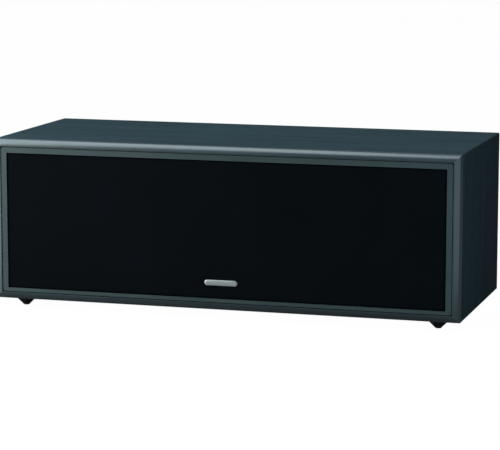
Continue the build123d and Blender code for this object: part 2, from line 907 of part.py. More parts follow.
with BuildPart() as woofer_yokes:
    for sign in sides.values():
        turn_driver(
            sign * woofer_offset,
            [
                (pole_vent, yoke_front - yoke_thickness),
                (yoke_radius, yoke_front - yoke_thickness),
                (yoke_radius, yoke_front),
                (former_radius - coil_gap, yoke_front),
                (former_radius - coil_gap, pole_front),
                (pole_vent, pole_front),
            ],
        )
save(woofer_yokes, "woofer_yokes")

strip_front = baffle_front + shelf_depth + basket_wall
strip_low = shelf_radius + basket_wall - strip_seat
tab_reach = strip_low + strip_length - tab_inset - tab_width / 2
with BuildPart() as woofer_terminal_strips:
    for sign in sides.values():
        with BuildSketch(front_plane(sign * woofer_offset, strip_front)) as strip:
            with Locations((-sign * (strip_low + strip_length / 2), 0)):
                Rectangle(strip_length, strip_width)
        extrude(strip.sketch, amount=-strip_thickness)
        with BuildSketch(front_plane(sign * woofer_offset, strip_front + strip_thickness)) as tabs:
            with Locations((-sign * tab_reach, -tab_spread), (-sign * tab_reach, tab_spread)):
                Rectangle(tab_width, tab_thickness)
        extrude(tabs.sketch, amount=-tab_length)
save(woofer_terminal_strips, "woofer_terminal_strips")

with BuildPart() as woofer_screws:
    for sign in sides.values():
        shape_screw(
            front_plane(sign * woofer_offset, baffle_front - flange_thickness),
            bolt_places(woofer_bolt_circle),
            screw_radius,
            screw_length,
            screw_head_radius,
            screw_head_height,
        )
save(woofer_screws, "woofer_screws")

# Tweeter
horn_throat = roll_outside + throat_gap
with BuildPart() as tweeter_faceplate:
    turn_driver(
        0,
        [
            (horn_throat, 0),
            (horn_throat, horn_lip),
            (horn_radius, faceplate_thickness),
            (tweeter_radius - faceplate_edge, faceplate_thickness),
            (tweeter_radius, faceplate_thickness - faceplate_edge),
            (tweeter_radius, 0),
            (tweeter_boss_radius, 0),
            (tweeter_boss_radius, -boss_depth),
            (dome_edge + dome_lip_gap, -boss_depth),
            (dome_edge + dome_lip_gap, 0),
        ],
    )
    with BuildSketch(front_plane(0, baffle_front)):
        with Locations(*bolt_places(tweeter_bolt_circle)):
            Circle(screw_radius + screw_hole_clearance)
    extrude(amount=faceplate_thickness, mode=Mode.SUBTRACT)
    with BuildSketch(front_plane(0, baffle_front - faceplate_thickness)):
        with Locations(*bolt_places(tweeter_bolt_circle)):
            Circle(screw_head_radius + screw_hole_clearance)
    extrude(amount=-screw_head_height, mode=Mode.SUBTRACT)
save(tweeter_faceplate, "tweeter_faceplate")

with BuildPart() as tweeter_dome:
    with BuildSketch(driver_section(0)) as section:
        with BuildLine():
            TangentArc((0, lip_top + dome_height), (dome_seat, lip_top), tangent=(1, 0))
            Line((dome_seat, lip_top), (roll_inside, lip_top))
            ThreePointArc(
                (roll_inside, lip_top),
                ((roll_inside + roll_outside) / 2, lip_top + dome_roll_height),
                (roll_outside, lip_top),
            )
            Polyline(
                (roll_outside, lip_top),
                (dome_edge, lip_top),
                (dome_edge, lip_bottom),
                (roll_outside - dome_wall, lip_bottom),
            )
            ThreePointArc(
                (roll_outside - dome_wall, lip_bottom),
                ((roll_inside + roll_outside) / 2, lip_bottom + dome_roll_height),
                (roll_inside + dome_wall, lip_bottom),
            )
            Line((roll_inside + dome_wall, lip_bottom), (dome_radius - dome_wall, lip_bottom))
            TangentArc(
                (0, lip_bottom + dome_height), (dome_radius - dome_wall, lip_bottom), tangent=(1, 0)
            )
            Line((0, lip_bottom + dome_height), (0, lip_top + dome_height))
        make_face()
    revolve(section.sketch, axis=driver_axis(0))
save(tweeter_dome, "tweeter_dome")

with BuildPart() as tweeter_voice_coil:
    tweeter_coil_end = lip_bottom - tweeter_coil_length
    turn_driver(
        0,
        [
            (dome_radius, tweeter_coil_end),
            (tweeter_winding_outside, tweeter_coil_end),
            (tweeter_winding_outside, tweeter_coil_end + tweeter_winding_height),
            (dome_seat, tweeter_coil_end + tweeter_winding_height),
            (dome_seat, lip_bottom),
            (dome_radius, lip_bottom),
        ],
    )
save(tweeter_voice_coil, "tweeter_voice_coil")

with BuildPart() as tweeter_top_plate:
    turn_driver(
        0,
        ring(
            tweeter_winding_outside + tweeter_coil_gap,
            tweeter_plate_radius,
            tweeter_magnet_front,
            -boss_depth,
        ),
    )
save(tweeter_top_plate, "tweeter_top_plate")

with BuildPart() as tweeter_magnet:
    turn_driver(
        0,
        ring(
            tweeter_winding_outside + tweeter_magnet_bore_gap,
            tweeter_magnet_radius,
            tweeter_yoke_front,
            tweeter_magnet_front,
        ),
    )
save(tweeter_magnet, "tweeter_magnet")

with BuildPart() as tweeter_yoke:
    turn_driver(
        0,
        [
            (0, tweeter_strip_front),
            (tweeter_yoke_radius, tweeter_strip_front),
            (tweeter_yoke_radius, tweeter_yoke_front),
            (dome_radius - tweeter_coil_gap, tweeter_yoke_front),
            (dome_radius - tweeter_coil_gap, -boss_depth),
            (0, -boss_depth),
        ],
    )
save(tweeter_yoke, "tweeter_yoke")

with BuildPart() as tweeter_terminal_strip:
    with BuildSketch(front_plane(0, baffle_front - tweeter_strip_front)):
        Rectangle(tweeter_strip_width, tweeter_strip_height)
    extrude(amount=-strip_thickness)
    with BuildSketch(front_plane(0, baffle_front - tweeter_strip_front + strip_thickness)):
        with Locations((-tweeter_tab_spread, 0), (tweeter_tab_spread, 0)):
            Rectangle(tab_thickness, tab_width)
    extrude(amount=-tab_length)
save(tweeter_terminal_strip, "tweeter_terminal_strip")

with BuildPart() as tweeter_screws:
    shape_screw(
        front_plane(0, baffle_front - faceplate_thickness + screw_head_height),
        bolt_places(tweeter_bolt_circle),
        screw_radius,
        screw_length,
        screw_head_radius,
        screw_head_height,
    )
save(tweeter_screws, "tweeter_screws")

# Grille: frame with a pocket for the cloth, two crossbars and six pegs
crossbar_place = (tweeter_radius + woofer_offset - woofer_radius) / 2
with BuildPart() as grille_frame:
    with BuildSketch(front_plane(0, grille_back)):
        RectangleRounded(grille_width, grille_height, grille_corner)
        Rectangle(grille_width - 2 * grille_rail, grille_height - 2 * grille_rail, mode=Mode.SUBTRACT)
    extrude(amount=grille_depth)
    with BuildSketch(front_plane(0, cloth_back)):
        with Locations((0, -pocket_drop)):
            Rectangle(pocket_width, pocket_height)
    extrude(amount=grille_depth, mode=Mode.SUBTRACT)
    with BuildSketch(front_plane(0, grille_back)):
        with Locations((-crossbar_place, 0), (crossbar_place, 0)):
            Rectangle(crossbar_width, grille_height - grille_rail)
    extrude(amount=grille_back - cloth_back - crossbar_setback)
    with BuildSketch(front_plane(0, grille_back)):
        with Locations(*peg_places):
            Circle(peg_radius + peg_shoulder_step)
    extrude(amount=-peg_shoulder)
    with BuildSketch(front_plane(0, grille_back + peg_shoulder)):
        with Locations(*peg_places):
            Circle(peg_radius)
    extrude(amount=-peg_length)
save(grille_frame, "grille_frame")

with BuildPart() as grille_cloth:
    with BuildSketch(front_plane(0, cloth_back)):
        with Locations((0, -pocket_drop)):
            Rectangle(pocket_width - 2 * cloth_clearance, pocket_height - 2 * cloth_clearance)
    extrude(amount=cloth_thickness)
save(grille_cloth, "grille_cloth")

with BuildPart() as grille_sockets:
    with BuildSketch(front_plane(0, baffle_front)):
        with Locations(*peg_places):
            Circle(socket_radius)
    extrude(amount=-socket_depth)
    with BuildSketch(front_plane(0, baffle_front)):
        with Locations(*peg_places):
            Circle(socket_radius + socket_lip)
    extrude(amount=socket_flange)
    with BuildSketch(front_plane(0, baffle_front - socket_flange)):
        with Locations(*peg_places):
            Circle(socket_bore)
    extrude(amount=socket_floor - socket_depth - socket_flange, mode=Mode.SUBTRACT)
save(grille_sockets, "grille_sockets")

with BuildPart() as grille_badge:
    with BuildSketch(front_plane(0, cloth_front)):
        with Locations((0, badge_lift - pocket_height / 2 - pocket_drop)):
            SlotOverall(badge_width, badge_height)
    extrude(amount=badge_thickness)
save(grille_badge, "grille_badge")

# Feet, with stems pressed into the bottom panel
with BuildPart() as feet:
    for place in foot_places:
        with BuildSketch(Plane(origin=(place.X, place.Y, 0), x_dir=(1, 0, 0), z_dir=(0, -1, 0))) as section:
            with BuildLine():
                Polyline(
                    (0, 0),
                    (foot_tip_radius, 0),
                    (foot_radius, foot_height - foot_rim),
                    (foot_radius, foot_height),
                    (foot_stem_radius, foot_height),
                    (foot_stem_radius, foot_height + foot_stem_length),
                    (0, foot_height + foot_stem_length),
                    close=True,
                )
            make_face()
        revolve(section.sketch, axis=Axis((place.X, place.Y, 0), (0, 0, 1)))
save(feet, "feet")

# Leads inside the cabinet
tag_face = cup_floor - cup_wall - tag_thickness
tag_eye = axis_height - tag_length + tag_width / 2
with BuildPart() as input_leads:
    for sign in colours.values():
        lead_x = sign * post_pitch / 2
        run_lead(
            [
                (lead_x, tag_face, tag_eye),
                (lead_x, tag_face - input_lead_forward, tag_eye),
                (lead_x, tag_face - input_lead_forward, board_top),
            ],
            lead_bend,
        )
save(input_leads, "input_leads")

woofer_tab_end = strip_front + strip_thickness + tab_length
with BuildPart() as woofer_leads:
    for sign in sides.values():
        for step in (-1, 1):
            tab_x = sign * (woofer_offset - tab_reach)
            tab_level = axis_height + step * tab_spread
            board_x = sign * (board_width / 2 - woofer_lead_inset + step * woofer_lead_step)
            board_y = part_row + step * woofer_lead_step
            run_lead(
                [
                    (tab_x, woofer_tab_end, tab_level),
                    (tab_x, board_y, tab_level),
                    (board_x, board_y, tab_level),
                    (board_x, board_y, board_top),
                ],
                lead_bend,
            )
save(woofer_leads, "woofer_leads")

tweeter_tab_end = baffle_front - tweeter_strip_front + strip_thickness + tab_length
with BuildPart() as tweeter_leads:
    for sign in sides.values():
        lead_x = sign * tweeter_tab_spread
        lead_y = board_rear - tweeter_lead_forward
        run_lead(
            [
                (lead_x, tweeter_tab_end, axis_height),
                (lead_x, lead_y, axis_height),
                (lead_x, lead_y, board_top),
            ],
            lead_bend,
        )
save(tweeter_leads, "tweeter_leads")
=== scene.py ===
import json
import math

import bmesh
import bpy
import numpy as np
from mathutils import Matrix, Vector


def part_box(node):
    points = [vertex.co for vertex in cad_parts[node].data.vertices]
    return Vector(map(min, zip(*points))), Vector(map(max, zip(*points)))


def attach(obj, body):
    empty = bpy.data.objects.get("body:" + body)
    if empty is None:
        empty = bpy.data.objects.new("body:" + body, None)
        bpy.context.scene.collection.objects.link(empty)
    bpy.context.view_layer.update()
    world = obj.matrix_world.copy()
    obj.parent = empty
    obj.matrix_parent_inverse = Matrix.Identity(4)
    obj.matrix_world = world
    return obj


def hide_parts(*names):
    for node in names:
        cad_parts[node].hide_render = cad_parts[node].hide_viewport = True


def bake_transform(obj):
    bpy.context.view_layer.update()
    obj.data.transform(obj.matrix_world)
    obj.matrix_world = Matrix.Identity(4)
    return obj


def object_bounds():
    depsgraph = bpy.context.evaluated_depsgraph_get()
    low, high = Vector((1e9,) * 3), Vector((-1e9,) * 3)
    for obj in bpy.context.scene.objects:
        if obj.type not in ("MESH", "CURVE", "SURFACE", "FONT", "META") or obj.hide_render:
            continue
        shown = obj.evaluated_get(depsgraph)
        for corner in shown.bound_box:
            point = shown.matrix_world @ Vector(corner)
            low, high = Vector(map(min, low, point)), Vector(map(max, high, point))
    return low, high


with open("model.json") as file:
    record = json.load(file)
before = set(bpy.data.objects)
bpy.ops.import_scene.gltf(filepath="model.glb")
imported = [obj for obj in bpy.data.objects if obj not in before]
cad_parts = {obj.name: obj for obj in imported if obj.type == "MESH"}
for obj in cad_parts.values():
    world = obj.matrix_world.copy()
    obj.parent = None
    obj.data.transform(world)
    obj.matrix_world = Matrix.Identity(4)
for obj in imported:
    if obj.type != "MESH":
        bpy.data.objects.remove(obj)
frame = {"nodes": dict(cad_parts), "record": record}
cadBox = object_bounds()
scene = bpy.context.scene
scene.view_settings.view_transform = "Standard"


photoCamera = {
    "place": (0.60757, -2.03545, 0.40650),
    "turn": 0.28962,  # radians left of straight on
    "dip": 0.15553,  # radians below level
    "lens": 164.76, "filmWidth": 36,  # mm
    "farthest": 50,  # metres
}


def setCamera():
    view = bpy.data.cameras.new("photoCamera")
    view.lens = photoCamera["lens"]
    view.sensor_width = photoCamera["filmWidth"]
    view.clip_end = photoCamera["farthest"]
    camera = bpy.data.objects.new("photoCamera", view)
    camera.location = photoCamera["place"]
    camera.rotation_euler = (math.pi / 2 - photoCamera["dip"], 0, photoCamera["turn"])
    scene.collection.objects.link(camera)
    scene.camera = camera


setCamera()
print("camera set")


# shader helpers, shared by every finish

def addNode(tree, kind, inputs=None, **settings):
    # one node: its settings, then each input as a plain value or another node's output
    made = tree.nodes.new("ShaderNode" + kind)
    for key, value in settings.items():
        setattr(made, key, value)
    for key, value in (inputs or {}).items():
        if isinstance(value, bpy.types.NodeSocket):
            tree.links.new(value, made.inputs[key])
        else:
            made.inputs[key].default_value = value
    return made.outputs[0]


def startFinish(name, plain):
    # a material, its node tree, its shader with the plain values set, and Object coordinates
    finish = bpy.data.materials.new(name)
    finish.use_nodes = True
    tree = finish.node_tree
    shader = tree.nodes["Principled BSDF"]
    for socket, value in plain.items():
        shader.inputs[socket].default_value = value
    place = tree.nodes.new("ShaderNodeTexCoord").outputs["Object"]
    return finish, tree, shader, place


def noise(tree, place, size, detail=3, rough=0.55):
    # soft noise whose marks have this size in metres along X, Y and Z
    spot = addNode(tree, "Mapping", {"Vector": place, "Scale": [1 / length for length in size]})
    return addNode(tree, "TexNoise", {"Vector": spot, "Scale": 1, "Detail": detail, "Roughness": rough})


def drawnOut(mark, way):
    # length and width of a mark, as sizes along X, Y and Z with the length along one of them
    length, width = mark
    return [length if axis == way else width for axis in "XYZ"]


def tone(tree, pattern, dark, pale, band=(0.3, 0.7)):
    # colour from dark to pale while the pattern rises through the band
    ramp = tree.nodes.new("ShaderNodeValToRGB")
    tree.links.new(pattern, ramp.inputs[0])
    for stop, place, colour in zip(ramp.color_ramp.elements, band, (dark, pale)):
        stop.position = place
        stop.color = (*colour, 1)
    return ramp.outputs[0]


def between(tree, pattern, ends, band=(0.3, 0.7)):
    # number from one end to the other while the pattern rises through the band
    return addNode(tree, "MapRange", {
        "Value": pattern, "From Min": band[0], "From Max": band[1], "To Min": ends[0], "To Max": ends[1],
    })


def blendOf(tree, first, second, share):
    # weighted sum of two patterns, share is the second one's weight
    part = addNode(tree, "Math", {0: first, 1: 1 - share}, operation="MULTIPLY")
    return addNode(tree, "Math", {0: second, 1: share, 2: part}, operation="MULTIPLY_ADD")


def partOf(tree, place, axis):
    # one coordinate of a place
    parts = tree.nodes.new("ShaderNodeSeparateXYZ")
    tree.links.new(place, parts.inputs[0])
    return parts.outputs[axis]


def ripple(tree, place, axis, pitch):
    # sine along one axis with this pitch in metres, from -1 to 1
    along = partOf(tree, place, axis)
    angle = addNode(tree, "Math", {0: along, 1: 2 * math.pi / pitch}, operation="MULTIPLY")
    return addNode(tree, "Math", {0: angle}, operation="SINE")


def dress(tree, shader, colour, roughness, height, depth):
    # colour, roughness and a bump of this depth in metres on the shader
    tree.links.new(colour, shader.inputs["Base Color"])
    tree.links.new(roughness, shader.inputs["Roughness"])
    bump = addNode(tree, "Bump", {"Height": height, "Distance": depth, "Strength": 1})
    tree.links.new(bump, shader.inputs["Normal"])


# black ash foil on the cabinet walls

foilLook = {
    "streak": (0.17, 0.0042), "streakDetail": 5, "streakRough": 0.6,  # length and width in metres
    "pore": (0.014, 0.00055), "poreDetail": 2, "poreShare": 0.4,
    "band": (0.36, 0.66),
    "dark": (0.0125, 0.0220, 0.0275),
    "pale": (0.0275, 0.0450, 0.0545),
    "rough": (0.70, 0.88),
    "depth": 0.000035,
    "rimDepth": 0.0065, "rimFade": 0.0004,  # the rounded front rim is lacquered over the foil
    "plain": {"Specular IOR Level": 0.05, "Coat Roughness": 0.30, "Coat IOR": 1.75},
}


def foilFinish(name, way):
    # long streaks along the grain set the tone, short pores darken it, sink and dull it
    look = foilLook
    finish, tree, shader, place = startFinish(name, look["plain"])
    streak = noise(tree, place, drawnOut(look["streak"], way), look["streakDetail"], look["streakRough"])
    pore = noise(tree, place, drawnOut(look["pore"], way), look["poreDetail"])
    grain = blendOf(tree, streak, pore, look["poreShare"])
    colour = tone(tree, grain, look["dark"], look["pale"], look["band"])
    roughness = between(tree, pore, look["rough"][::-1])
    dress(tree, shader, colour, roughness, pore, look["depth"])
    rimEnd = cadBox[0][1] + look["rimDepth"]
    rimBand = (rimEnd - look["rimFade"], rimEnd)
    lacquer = between(tree, partOf(tree, place, "Y"), (1, 0), rimBand)
    tree.links.new(lacquer, shader.inputs["Coat Weight"])
    return finish


# speckled finishes: moulded plastic, paint, rubber, board and ceramic

speckMix = {"grainDetail": 2, "cloudDetail": 4, "grainShare": 0.45}
speckLooks = {
    "baffle": {  # matt black fibreboard of the front and rear panels
        "grain": 0.0009, "cloud": 0.035, "dark": (0.0085, 0.0090, 0.0100), "pale": (0.0170, 0.0178, 0.0195),
        "rough": (0.55, 0.72), "depth": 0.00004, "plain": {"Specular IOR Level": 0.3},
    },
    "grille_plastic": {  # fine matt frame round the cloth
        "grain": 0.0006, "cloud": 0.05, "dark": (0.029, 0.044, 0.0455), "pale": (0.043, 0.0645, 0.067),
        "rough": (0.42, 0.55), "depth": 0.000016, "plain": {"Specular IOR Level": 0.45},
    },
    "black_plastic": {  # port, terminal cup, tweeter faceplate, sockets
        "grain": 0.0005, "cloud": 0.02, "dark": (0.0090, 0.0095, 0.0105), "pale": (0.0165, 0.0172, 0.0185),
        "rough": (0.38, 0.52), "depth": 0.00002, "plain": {"Specular IOR Level": 0.45},
    },
    "basket": {  # powder coat on the pressed baskets
        "grain": 0.0007, "cloud": 0.015, "dark": (0.012, 0.012, 0.0135), "pale": (0.022, 0.022, 0.0245),
        "rough": (0.32, 0.48), "depth": 0.00003, "plain": {"Specular IOR Level": 0.5},
    },
    "rubber": {  # feet, gaskets and surrounds
        "grain": 0.0004, "cloud": 0.012, "dark": (0.0080, 0.0082, 0.0086), "pale": (0.0150, 0.0152, 0.0158),
        "rough": (0.60, 0.78), "depth": 0.00002, "plain": {"Specular IOR Level": 0.3},
    },
    "ferrite": {  # ground ceramic ring magnets
        "grain": 0.0011, "cloud": 0.018, "dark": (0.030, 0.030, 0.033), "pale": (0.070, 0.070, 0.074),
        "rough": (0.58, 0.75), "depth": 0.00004, "plain": {"Specular IOR Level": 0.4},
    },
    "black_steel": {  # black oxide screws
        "grain": 0.0005, "cloud": 0.004, "dark": (0.010, 0.010, 0.011), "pale": (0.030, 0.029, 0.028),
        "rough": (0.28, 0.45), "depth": 0.00001, "plain": {"Metallic": 0.6},
    },
    "red_plastic": {  # polished red binding post
        "grain": 0.0020, "cloud": 0.008, "dark": (0.330, 0.010, 0.010), "pale": (0.480, 0.022, 0.020),
        "rough": (0.12, 0.22), "depth": 0.000008, "plain": {"Coat Weight": 0.4, "Coat Roughness": 0.08},
    },
    "post_black": {  # polished black binding post
        "grain": 0.0020, "cloud": 0.008, "dark": (0.0075, 0.0075, 0.0080), "pale": (0.0150, 0.0150, 0.0158),
        "rough": (0.12, 0.22), "depth": 0.000008, "plain": {"Coat Weight": 0.4, "Coat Roughness": 0.08},
    },
    "board": {  # brown phenolic crossover board
        "grain": 0.0012, "cloud": 0.02, "dark": (0.190, 0.100, 0.040), "pale": (0.330, 0.190, 0.085),
        "rough": (0.45, 0.60), "depth": 0.00002, "plain": {"Specular IOR Level": 0.45},
    },
    "capacitor": {  # blue sleeve
        "grain": 0.0010, "cloud": 0.009, "dark": (0.020, 0.060, 0.170), "pale": (0.040, 0.105, 0.270),
        "rough": (0.20, 0.32), "depth": 0.00001, "plain": {"Coat Weight": 0.3, "Coat Roughness": 0.1},
    },
    "resistor": {  # white cement
        "grain": 0.0008, "cloud": 0.007, "dark": (0.560, 0.550, 0.510), "pale": (0.760, 0.750, 0.710),
        "rough": (0.70, 0.85), "depth": 0.00005, "plain": {"Specular IOR Level": 0.3},
    },
    "lead": {  # red insulation
        "grain": 0.0010, "cloud": 0.010, "dark": (0.200, 0.012, 0.012), "pale": (0.320, 0.022, 0.020),
        "rough": (0.35, 0.48), "depth": 0.00001, "plain": {"Specular IOR Level": 0.45},
    },
}


def speckFinish(slot):
    # a fine grain over broad clouds: both shade the tone, the grain makes the bump and the gloss
    look = speckLooks[slot]
    finish, tree, shader, place = startFinish(slot + "Finish", look["plain"])
    grain = noise(tree, place, [look["grain"]] * 3, speckMix["grainDetail"])
    cloud = noise(tree, place, [look["cloud"]] * 3, speckMix["cloudDetail"])
    mixed = blendOf(tree, cloud, grain, speckMix["grainShare"])
    colour = tone(tree, mixed, look["dark"], look["pale"])
    roughness = between(tree, mixed, look["rough"])
    dress(tree, shader, colour, roughness, grain, look["depth"])
    return finish


# drawn metal: plated steel, gold flashed brass, the badge

metalLooks = {
    "zinc_steel": {
        "way": "X", "line": (0.030, 0.0005), "dark": (0.400, 0.400, 0.375), "pale": (0.580, 0.580, 0.550),
        "rough": (0.26, 0.42), "depth": 0.000006, "plain": {"Metallic": 1.0},
    },
    "brass": {
        "way": "Y", "line": (0.012, 0.0004), "dark": (0.620, 0.420, 0.150), "pale": (0.830, 0.620, 0.280),
        "rough": (0.16, 0.28), "depth": 0.000004, "plain": {"Metallic": 1.0},
    },
    "badge": {
        "way": "X", "line": (0.014, 0.00022), "dark": (0.640, 0.655, 0.665), "pale": (0.840, 0.850, 0.860),
        "rough": (0.30, 0.44), "depth": 0.000004, "plain": {"Metallic": 1.0},
    },
}


def metalFinish(slot):
    # fine lines drawn out along one axis vary the tone, the gloss and a very shallow bump
    look = metalLooks[slot]
    finish, tree, shader, place = startFinish(slot + "Finish", look["plain"])
    line = noise(tree, place, drawnOut(look["line"], look["way"]))
    colour = tone(tree, line, look["dark"], look["pale"])
    roughness = between(tree, line, look["rough"])
    dress(tree, shader, colour, roughness, line, look["depth"])
    return finish


# woven finishes: grille cloth, spider, silk dome

weaveMix = {"cloudDetail": 4, "cloudShare": 0.5, "band": (0.2, 0.8)}
weaveLooks = {
    "cloth": {
        "pitch": 0.0011, "cloud": 0.06, "dark": (0.0009, 0.0014, 0.0020), "pale": (0.0038, 0.0055, 0.0080),
        "rough": (0.85, 0.95), "depth": 0.00012, "plain": {"Specular IOR Level": 0.05},
    },
    "spider": {
        "pitch": 0.0009, "cloud": 0.01, "dark": (0.330, 0.205, 0.060), "pale": (0.560, 0.390, 0.150),
        "rough": (0.70, 0.85), "depth": 0.00008, "plain": {"Specular IOR Level": 0.3},
    },
    "dome": {
        "pitch": 0.0005, "cloud": 0.006, "dark": (0.010, 0.010, 0.011), "pale": (0.026, 0.026, 0.028),
        "rough": (0.40, 0.55), "depth": 0.00003, "plain": {"Specular IOR Level": 0.45, "Coat Weight": 0.15},
    },
}


def weaveFinish(slot):
    # product of two sines across the weave makes the loops; broad clouds keep the tone from being even
    look = weaveLooks[slot]
    finish, tree, shader, place = startFinish(slot + "Finish", look["plain"])
    across = ripple(tree, place, "X", look["pitch"])
    upward = ripple(tree, place, "Z", look["pitch"])
    loops = addNode(tree, "Math", {0: across, 1: upward}, operation="MULTIPLY")
    loops = between(tree, loops, (0, 1), (-1, 1))
    cloud = noise(tree, place, [look["cloud"]] * 3, weaveMix["cloudDetail"])
    mixed = blendOf(tree, loops, cloud, weaveMix["cloudShare"])
    colour = tone(tree, mixed, look["dark"], look["pale"], weaveMix["band"])
    roughness = between(tree, mixed, look["rough"])
    dress(tree, shader, colour, roughness, loops, look["depth"])
    return finish


# fibrous finishes: paper cones and polyester wadding

fibreMix = {"risingShare": 0.5, "band": (0.38, 0.62)}
fibreLooks = {
    "cone": {
        "fibre": (0.007, 0.0005), "dark": (0.014, 0.014, 0.0155), "pale": (0.042, 0.042, 0.045),
        "rough": (0.50, 0.68), "depth": 0.00005, "plain": {"Specular IOR Level": 0.4},
    },
    "wadding": {
        "fibre": (0.020, 0.0011), "dark": (0.560, 0.560, 0.540), "pale": (0.860, 0.860, 0.840),
        "rough": (0.90, 1.00), "depth": 0.0006, "plain": {"Specular IOR Level": 0.1, "Sheen Weight": 0.3},
    },
}


def fibreFinish(slot):
    # two sets of drawn-out marks that cross each other stand for pressed or loose fibres
    look = fibreLooks[slot]
    finish, tree, shader, place = startFinish(slot + "Finish", look["plain"])
    lying = noise(tree, place, drawnOut(look["fibre"], "X"))
    rising = noise(tree, place, drawnOut(look["fibre"], "Z"))
    mixed = blendOf(tree, lying, rising, fibreMix["risingShare"])
    colour = tone(tree, mixed, look["dark"], look["pale"], fibreMix["band"])
    roughness = between(tree, mixed, look["rough"])
    dress(tree, shader, colour, roughness, mixed, look["depth"])
    return finish


# enamelled copper winding

windingLook = {
    "wire": 0.0004, "stackedShare": 0.5, "cloud": 0.004, "cloudDetail": 2, "cloudShare": 0.5,
    "dark": (0.350, 0.130, 0.055), "pale": (0.720, 0.340, 0.170), "rough": (0.22, 0.36), "depth": 0.00006,
    "plain": {"Metallic": 1.0, "Coat Weight": 0.5},
}


def windingFinish():
    # sines along Y and Z at the wire's pitch make the turns of coils that stand either way
    look = windingLook
    finish, tree, shader, place = startFinish("copperFinish", look["plain"])
    wound = ripple(tree, place, "Y", look["wire"])
    stacked = ripple(tree, place, "Z", look["wire"])
    turns = between(tree, blendOf(tree, wound, stacked, look["stackedShare"]), (0, 1), (-1, 1))
    cloud = noise(tree, place, [look["cloud"]] * 3, look["cloudDetail"])
    mixed = blendOf(tree, turns, cloud, look["cloudShare"])
    colour = tone(tree, mixed, look["dark"], look["pale"])
    roughness = between(tree, cloud, look["rough"])
    dress(tree, shader, colour, roughness, turns, look["depth"])
    return finish


finishes = {slot: speckFinish(slot) for slot in speckLooks}
finishes.update({slot: metalFinish(slot) for slot in metalLooks})
finishes.update({slot: weaveFinish(slot) for slot in weaveLooks})
finishes.update({slot: fibreFinish(slot) for slot in fibreLooks})
finishes["copper"] = windingFinish()
finishes["levelFoil"] = foilFinish("levelFoil", "X")
finishes["uprightFoil"] = foilFinish("uprightFoil", "Z")
wallFoils = {
    "top_panel": "levelFoil", "bottom_panel": "levelFoil",
    "left_side_panel": "uprightFoil", "right_side_panel": "uprightFoil",
}
for part in frame["record"]["subparts"]:
    meshData = frame["nodes"][part["node"]].data
    meshData.materials.clear()
    meshData.materials.append(finishes[wallFoils.get(part["node"], part["material_slot"])])
print("finishes:", len(finishes))


# mesh helpers for the new pieces

def gridFaces(points, facing=None, closeRows=False):
    # rows of points, each row a closed ring or (with facing) an open line, joined into four-sided faces
    rows, columns = points.shape[:2]
    index = np.arange(rows * columns).reshape(rows, columns)
    if facing is None:
        index = np.concatenate([index, index[:, :1]], axis=1)
    if closeRows:
        index = np.concatenate([index, index[:1]], axis=0)
    corners = [index[:-1, :-1], index[:-1, 1:], index[1:, 1:], index[1:, :-1]]
    faces = np.stack(corners, axis=-1).reshape(-1, 4)
    a, b, c, d = np.moveaxis(points.reshape(-1, 3)[faces], 1, 0)
    if facing is None:  # the volume tells which way a closed form's faces point
        side = (a * (np.cross(b, c) + np.cross(c, d))).sum()
    else:
        side = (np.cross(c - a, d - b) @ np.array(facing)).sum()
    return faces[:, ::-1] if side < 0 else faces


def meshOf(name, points, faces):
    mesh = bpy.data.meshes.new(name)
    mesh.from_pydata(points.reshape(-1, 3).tolist(), [], faces.tolist())
    mesh.polygons.foreach_set("use_smooth", np.ones(len(mesh.polygons), bool))
    return mesh


def gridMesh(name, points, facing=None, closeRows=False):
    return meshOf(name, points, gridFaces(points, facing, closeRows))


def closePoles(mesh, apart=1e-6):
    # points that fall together, as at the poles of a pad, become one
    held = bmesh.new()
    held.from_mesh(mesh)
    bmesh.ops.remove_doubles(held, verts=held.verts, dist=apart)
    held.to_mesh(mesh)
    held.free()


def middleOf(node):
    # X and Z of the middle of a node's box
    low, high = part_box(node)
    return np.array([low[0] + high[0], low[2] + high[2]]) / 2


def smoothStep(share):
    # from 0 to 1 with level ends
    return share * share * (3 - 2 * share)


def addPiece(name, mesh, slot, *replaced):
    piece = bpy.data.objects.new(name, mesh)
    scene.collection.objects.link(piece)
    mesh.materials.append(finishes[slot])
    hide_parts(*replaced)
    return piece


# grille cloth

clothShape = {
    "columns": 260, "rows": 80,
    "tuck": 0.00045, "tuckWidth": 0.0012,  # how far the edge turns in, and over what width
    "hollow": 0.00015,  # the stretched cloth lies this much deeper in its middle
    "thickness": 0.00035,
}


def makeGrilleCloth():
    # y over the flat rectangle: a shallow bowl plus a turned-in edge that fades away from the border
    low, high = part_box("grille_cloth")
    x = np.linspace(low[0], high[0], clothShape["columns"])
    z = np.linspace(low[2], high[2], clothShape["rows"])
    zGrid, xGrid = np.meshgrid(z, x, indexing="ij")
    u = (xGrid - low[0]) / (high[0] - low[0]) * 2 - 1
    v = (zGrid - low[2]) / (high[2] - low[2]) * 2 - 1
    edge = np.minimum.reduce([xGrid - low[0], high[0] - xGrid, zGrid - low[2], high[2] - zGrid])
    y = low[1] + clothShape["hollow"] * (1 - u**2) * (1 - v**2)
    y = y + clothShape["tuck"] * np.exp(-edge / clothShape["tuckWidth"])
    mesh = gridMesh("grilleCloth", np.stack([xGrid, y, zGrid], axis=-1), facing=(0, -1, 0))
    cloth = addPiece("grilleCloth", mesh, "cloth", "grille_cloth")
    wall = cloth.modifiers.new("clothThickness", "SOLIDIFY")
    wall.thickness = clothShape["thickness"]
    wall.offset = -1
    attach(cloth, "grille")


makeGrilleCloth()
print("grille cloth made")


# blank badge

badgeShape = {"edge": 0.00030, "sideShare": 0.45, "arcPoints": 25, "edgePoints": 7, "crownPoints": 12}


